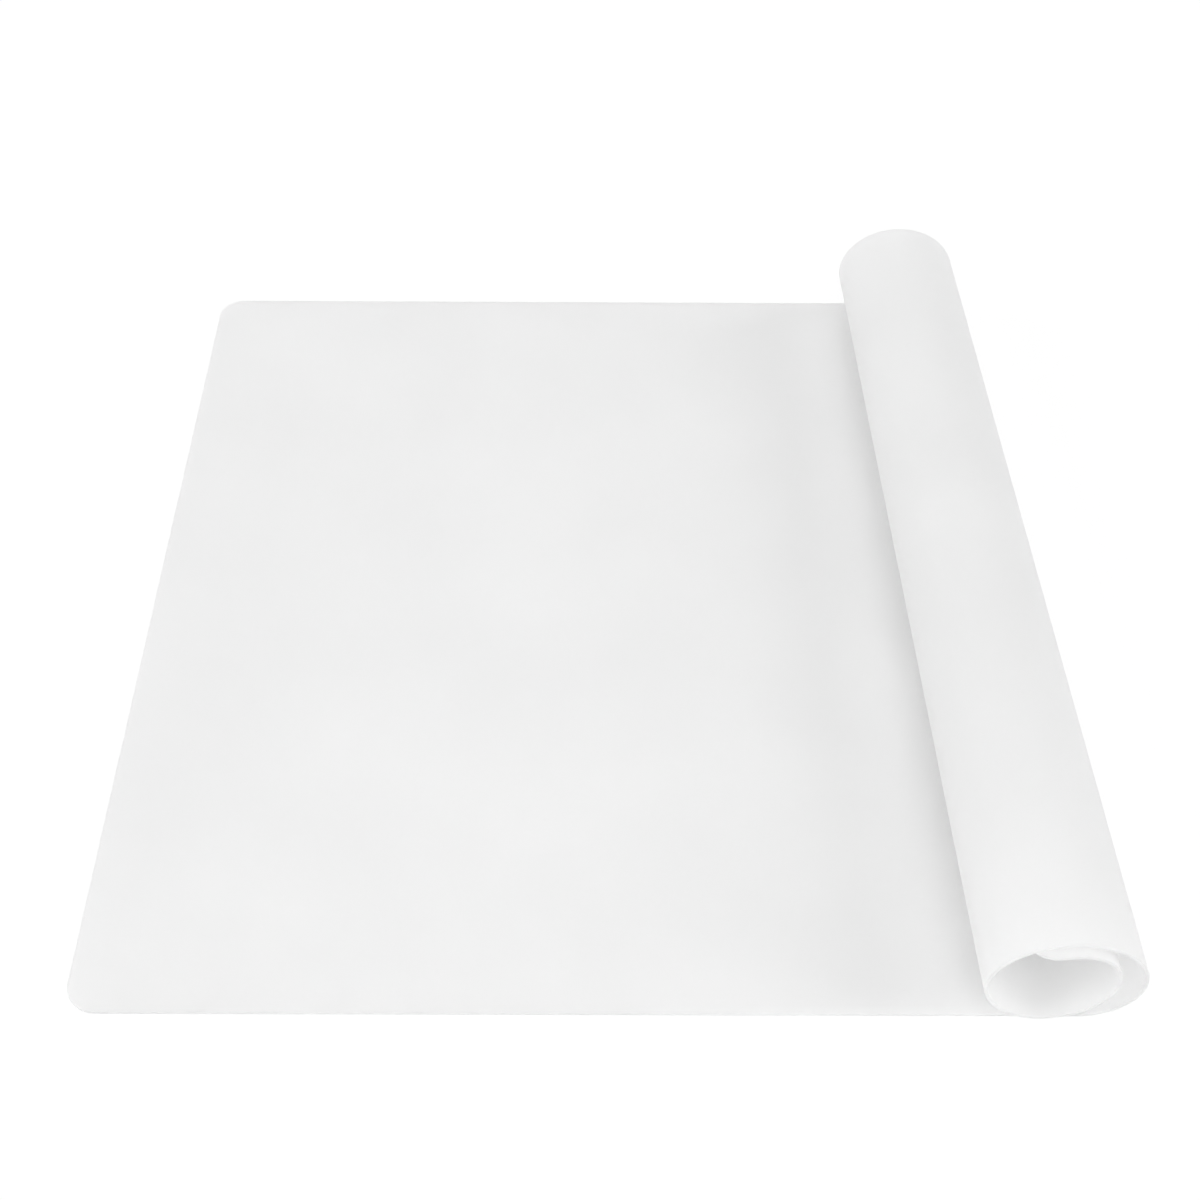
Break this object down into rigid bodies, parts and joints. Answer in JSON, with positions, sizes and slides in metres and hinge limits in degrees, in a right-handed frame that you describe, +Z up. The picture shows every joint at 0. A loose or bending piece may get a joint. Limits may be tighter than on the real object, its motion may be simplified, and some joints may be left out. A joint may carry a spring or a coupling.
{
  "type": "silicone counter mat",
  "caption": "Translucent white silicone counter mat with round corners, lying flat with one end wound up into a loose roll that unrolls flat.",
  "frame": {"origin": "middle of the mat's flat part, on its underside", "axes": "+Z up off the counter, +Y along the mat's short edges and the roll, +X from the plain end towards the roll"},
  "size_m": [0.409, 0.4531, 0.0513],
  "materials": {
    "silicone": "satin"
  },
  "bodies": {
    "flat_sheet": {"flat_sheet": "silicone"},
    "roll_strip_01": {"roll_strip_01": "silicone"},
    "roll_strip_02": {"roll_strip_02": "silicone"},
    "roll_strip_03": {"roll_strip_03": "silicone"},
    "roll_strip_04": {"roll_strip_04": "silicone"},
    "roll_strip_05": {"roll_strip_05": "silicone"},
    "roll_strip_06": {"roll_strip_06": "silicone"},
    "roll_strip_07": {"roll_strip_07": "silicone"},
    "roll_strip_08": {"roll_strip_08": "silicone"},
    "roll_strip_09": {"roll_strip_09": "silicone"},
    "roll_strip_10": {"roll_strip_10": "silicone"},
    "roll_strip_11": {"roll_strip_11": "silicone"},
    "roll_strip_12": {"roll_strip_12": "silicone"},
    "roll_strip_13": {"roll_strip_13": "silicone"},
    "roll_strip_14": {"roll_strip_14": "silicone"},
    "roll_strip_15": {"roll_strip_15": "silicone"},
    "roll_strip_16": {"roll_strip_16": "silicone"},
    "roll_strip_17": {"roll_strip_17": "silicone"},
    "roll_strip_18": {"roll_strip_18": "silicone"},
    "roll_strip_19": {"roll_strip_19": "silicone"},
    "roll_strip_20": {"roll_strip_20": "silicone"},
    "roll_strip_21": {"roll_strip_21": "silicone"},
    "roll_strip_22": {"roll_strip_22": "silicone"},
    "roll_strip_23": {"roll_strip_23": "silicone"},
    "roll_strip_24": {"roll_strip_24": "silicone"},
    "roll_strip_25": {"roll_strip_25": "silicone"},
    "roll_strip_26": {"roll_strip_26": "silicone"},
    "roll_strip_27": {"roll_strip_27": "silicone"},
    "roll_strip_28": {"roll_strip_28": "silicone"},
    "roll_strip_29": {"roll_strip_29": "silicone"},
    "roll_strip_30": {"roll_strip_30": "silicone"},
    "roll_strip_31": {"roll_strip_31": "silicone"},
    "roll_strip_32": {"roll_strip_32": "silicone"},
    "roll_strip_33": {"roll_strip_33": "silicone"},
    "roll_strip_34": {"roll_strip_34": "silicone"},
    "roll_strip_35": {"roll_strip_35": "silicone"},
    "roll_strip_36": {"roll_strip_36": "silicone"},
    "roll_strip_37": {"roll_strip_37": "silicone"},
    "roll_strip_38": {"roll_strip_38": "silicone"}
  },
  "joints": [
    {"name": "unroll", "type": "hinge", "parent": "flat_sheet", "child": "roll_strip_01", "pos_m": [0.19176, 0, 0], "axis": [-0.0122, 0.9999, 0], "range_deg": [0, 7.5]},
    {"name": "bend_02", "type": "hinge", "parent": "roll_strip_01", "child": "roll_strip_02", "pos_m": [0.19805, 0.00008, 0.00083], "axis": [-0.0122, 0.9999, 0], "range_deg": [0, 15]},
    {"name": "bend_03", "type": "hinge", "parent": "roll_strip_02", "child": "roll_strip_03", "pos_m": [0.20368, 0.00015, 0.00316], "axis": [-0.0122, 0.9999, 0], "range_deg": [0, 15]},
    {"name": "bend_04", "type": "hinge", "parent": "roll_strip_03", "child": "roll_strip_04", "pos_m": [0.20822, 0.0002, 0.00665], "axis": [-0.0122, 0.9999, 0], "range_deg": [0, 15]},
    {"name": "bend_05", "type": "hinge", "parent": "roll_strip_04", "child": "roll_strip_05", "pos_m": [0.21155, 0.00024, 0.01099], "axis": [-0.0122, 0.9999, 0], "range_deg": [0, 15]},
    {"name": "bend_06", "type": "hinge", "parent": "roll_strip_05", "child": "roll_strip_06", "pos_m": [0.21365, 0.00027, 0.01605], "axis": [-0.0122, 0.9999, 0], "range_deg": [0, 15]},
    {"name": "bend_07", "type": "hinge", "parent": "roll_strip_06", "child": "roll_strip_07", "pos_m": [0.21441, 0.00028, 0.02184], "axis": [-0.0122, 0.9999, 0], "range_deg": [0, 15]},
    {"name": "bend_08", "type": "hinge", "parent": "roll_strip_07", "child": "roll_strip_08", "pos_m": [0.21357, 0.00027, 0.02826], "axis": [-0.0122, 0.9999, 0], "range_deg": [0, 15]},
    {"name": "bend_09", "type": "hinge", "parent": "roll_strip_08", "child": "roll_strip_09", "pos_m": [0.21078, 0.00023, 0.03498], "axis": [-0.0122, 0.9999, 0], "range_deg": [0, 15]},
    {"name": "bend_10", "type": "hinge", "parent": "roll_strip_09", "child": "roll_strip_10", "pos_m": [0.20587, 0.00017, 0.04138], "axis": [-0.0122, 0.9999, 0], "range_deg": [0, 15]},
    {"name": "bend_11", "type": "hinge", "parent": "roll_strip_10", "child": "roll_strip_11", "pos_m": [0.19897, 0.00009, 0.04667], "axis": [-0.0122, 0.9999, 0], "range_deg": [0, 15]},
    {"name": "bend_12", "type": "hinge", "parent": "roll_strip_11", "child": "roll_strip_12", "pos_m": [0.19061, -0.00001, 0.05014], "axis": [-0.0122, 0.9999, 0], "range_deg": [0, 15]},
    {"name": "bend_13", "type": "hinge", "parent": "roll_strip_12", "child": "roll_strip_13", "pos_m": [0.18164, -0.00012, 0.05132], "axis": [-0.0122, 0.9999, 0], "range_deg": [0, 15]},
    {"name": "bend_14", "type": "hinge", "parent": "roll_strip_13", "child": "roll_strip_14", "pos_m": [0.17301, -0.00023, 0.05018], "axis": [-0.0122, 0.9999, 0], "range_deg": [0, 15]},
    {"name": "bend_15", "type": "hinge", "parent": "roll_strip_14", "child": "roll_strip_15", "pos_m": [0.16554, -0.00032, 0.04709], "axis": [-0.0122, 0.9999, 0], "range_deg": [0, 15]},
    {"name": "bend_16", "type": "hinge", "parent": "roll_strip_15", "child": "roll_strip_16", "pos_m": [0.15972, -0.00039, 0.04262], "axis": [-0.0122, 0.9999, 0], "range_deg": [0, 15]},
    {"name": "bend_17", "type": "hinge", "parent": "roll_strip_16", "child": "roll_strip_17", "pos_m": [0.1557, -0.00044, 0.03738], "axis": [-0.0122, 0.9999, 0], "range_deg": [0, 15]},
    {"name": "bend_18", "type": "hinge", "parent": "roll_strip_17", "child": "roll_strip_18", "pos_m": [0.15338, -0.00047, 0.03177], "axis": [-0.0122, 0.9999, 0], "range_deg": [0, 15]},
    {"name": "bend_19", "type": "hinge", "parent": "roll_strip_18", "child": "roll_strip_19", "pos_m": [0.15261, -0.00048, 0.02599], "axis": [-0.0122, 0.9999, 0], "range_deg": [0, 15]},
    {"name": "bend_20", "type": "hinge", "parent": "roll_strip_19", "child": "roll_strip_20", "pos_m": [0.15338, -0.00047, 0.02015], "axis": [-0.0122, 0.9999, 0], "range_deg": [0, 15]},
    {"name": "bend_21", "type": "hinge", "parent": "roll_strip_20", "child": "roll_strip_21", "pos_m": [0.15571, -0.00044, 0.01454], "axis": [-0.0122, 0.9999, 0], "range_deg": [0, 15]},
    {"name": "bend_22", "type": "hinge", "parent": "roll_strip_21", "child": "roll_strip_22", "pos_m": [0.15958, -0.00039, 0.0095], "axis": [-0.0122, 0.9999, 0], "range_deg": [0, 15]},
    {"name": "bend_23", "type": "hinge", "parent": "roll_strip_22", "child": "roll_strip_23", "pos_m": [0.16482, -0.00033, 0.00547], "axis": [-0.0122, 0.9999, 0], "range_deg": [0, 15]},
    {"name": "bend_24", "type": "hinge", "parent": "roll_strip_23", "child": "roll_strip_24", "pos_m": [0.17107, -0.00025, 0.00288], "axis": [-0.0122, 0.9999, 0], "range_deg": [0, 15]},
    {"name": "bend_25", "type": "hinge", "parent": "roll_strip_24", "child": "roll_strip_25", "pos_m": [0.17779, -0.00017, 0.002], "axis": [-0.0122, 0.9999, 0], "range_deg": [0, 15]},
    {"name": "bend_26", "type": "hinge", "parent": "roll_strip_25", "child": "roll_strip_26", "pos_m": [0.18445, -0.00009, 0.00288], "axis": [-0.0122, 0.9999, 0], "range_deg": [0, 15]},
    {"name": "bend_27", "type": "hinge", "parent": "roll_strip_26", "child": "roll_strip_27", "pos_m": [0.19056, -0.00001, 0.00541], "axis": [-0.0122, 0.9999, 0], "range_deg": [0, 15]},
    {"name": "bend_28", "type": "hinge", "parent": "roll_strip_27", "child": "roll_strip_28", "pos_m": [0.19571, 0.00005, 0.00936], "axis": [-0.0122, 0.9999, 0], "range_deg": [0, 15]},
    {"name": "bend_29", "type": "hinge", "parent": "roll_strip_28", "child": "roll_strip_29", "pos_m": [0.1996, 0.0001, 0.01443], "axis": [-0.0122, 0.9999, 0], "range_deg": [0, 15]},
    {"name": "bend_30", "type": "hinge", "parent": "roll_strip_29", "child": "roll_strip_30", "pos_m": [0.20202, 0.00013, 0.02028], "axis": [-0.0122, 0.9999, 0], "range_deg": [0, 15]},
    {"name": "bend_31", "type": "hinge", "parent": "roll_strip_30", "child": "roll_strip_31", "pos_m": [0.20284, 0.00014, 0.0265], "axis": [-0.0122, 0.9999, 0], "range_deg": [0, 15]},
    {"name": "bend_32", "type": "hinge", "parent": "roll_strip_31", "child": "roll_strip_32", "pos_m": [0.20206, 0.00013, 0.03241], "axis": [-0.0122, 0.9999, 0], "range_deg": [0, 15]},
    {"name": "bend_33", "type": "hinge", "parent": "roll_strip_32", "child": "roll_strip_33", "pos_m": [0.19998, 0.0001, 0.03743], "axis": [-0.0122, 0.9999, 0], "range_deg": [0, 15]},
    {"name": "bend_34", "type": "hinge", "parent": "roll_strip_33", "child": "roll_strip_34", "pos_m": [0.19702, 0.00006, 0.04129], "axis": [-0.0122, 0.9999, 0], "range_deg": [0, 15]},
    {"name": "bend_35", "type": "hinge", "parent": "roll_strip_34", "child": "roll_strip_35", "pos_m": [0.19348, 0.00002, 0.04401], "axis": [-0.0122, 0.9999, 0], "range_deg": [0, 15]},
    {"name": "bend_36", "type": "hinge", "parent": "roll_strip_35", "child": "roll_strip_36", "pos_m": [0.18943, -0.00003, 0.04569], "axis": [-0.0122, 0.9999, 0], "range_deg": [0, 15]},
    {"name": "bend_37", "type": "hinge", "parent": "roll_strip_36", "child": "roll_strip_37", "pos_m": [0.1838, -0.0001, 0.04643], "axis": [-0.0122, 0.9999, 0], "range_deg": [0, 15]},
    {"name": "bend_38", "type": "hinge", "parent": "roll_strip_37", "child": "roll_strip_38", "pos_m": [0.17578, -0.0002, 0.04537], "axis": [-0.0122, 0.9999, 0], "range_deg": [0, 15]}
  ],
  "couplings": [
    {"joint": "bend_02", "follows": "unroll", "ratio": 2},
    {"joint": "bend_03", "follows": "unroll", "ratio": 2},
    {"joint": "bend_04", "follows": "unroll", "ratio": 2},
    {"joint": "bend_05", "follows": "unroll", "ratio": 2},
    {"joint": "bend_06", "follows": "unroll", "ratio": 2},
    {"joint": "bend_07", "follows": "unroll", "ratio": 2},
    {"joint": "bend_08", "follows": "unroll", "ratio": 2},
    {"joint": "bend_09", "follows": "unroll", "ratio": 2},
    {"joint": "bend_10", "follows": "unroll", "ratio": 2},
    {"joint": "bend_11", "follows": "unroll", "ratio": 2},
    {"joint": "bend_12", "follows": "unroll", "ratio": 2},
    {"joint": "bend_13", "follows": "unroll", "ratio": 2},
    {"joint": "bend_14", "follows": "unroll", "ratio": 2},
    {"joint": "bend_15", "follows": "unroll", "ratio": 2},
    {"joint": "bend_16", "follows": "unroll", "ratio": 2},
    {"joint": "bend_17", "follows": "unroll", "ratio": 2},
    {"joint": "bend_18", "follows": "unroll", "ratio": 2},
    {"joint": "bend_19", "follows": "unroll", "ratio": 2},
    {"joint": "bend_20", "follows": "unroll", "ratio": 2},
    {"joint": "bend_21", "follows": "unroll", "ratio": 2},
    {"joint": "bend_22", "follows": "unroll", "ratio": 2},
    {"joint": "bend_23", "follows": "unroll", "ratio": 2},
    {"joint": "bend_24", "follows": "unroll", "ratio": 2},
    {"joint": "bend_25", "follows": "unroll", "ratio": 2},
    {"joint": "bend_26", "follows": "unroll", "ratio": 2},
    {"joint": "bend_27", "follows": "unroll", "ratio": 2},
    {"joint": "bend_28", "follows": "unroll", "ratio": 2},
    {"joint": "bend_29", "follows": "unroll", "ratio": 2},
    {"joint": "bend_30", "follows": "unroll", "ratio": 2},
    {"joint": "bend_31", "follows": "unroll", "ratio": 2},
    {"joint": "bend_32", "follows": "unroll", "ratio": 2},
    {"joint": "bend_33", "follows": "unroll", "ratio": 2},
    {"joint": "bend_34", "follows": "unroll", "ratio": 2},
    {"joint": "bend_35", "follows": "unroll", "ratio": 2},
    {"joint": "bend_36", "follows": "unroll", "ratio": 2},
    {"joint": "bend_37", "follows": "unroll", "ratio": 2},
    {"joint": "bend_38", "follows": "unroll", "ratio": 2}
  ]
}
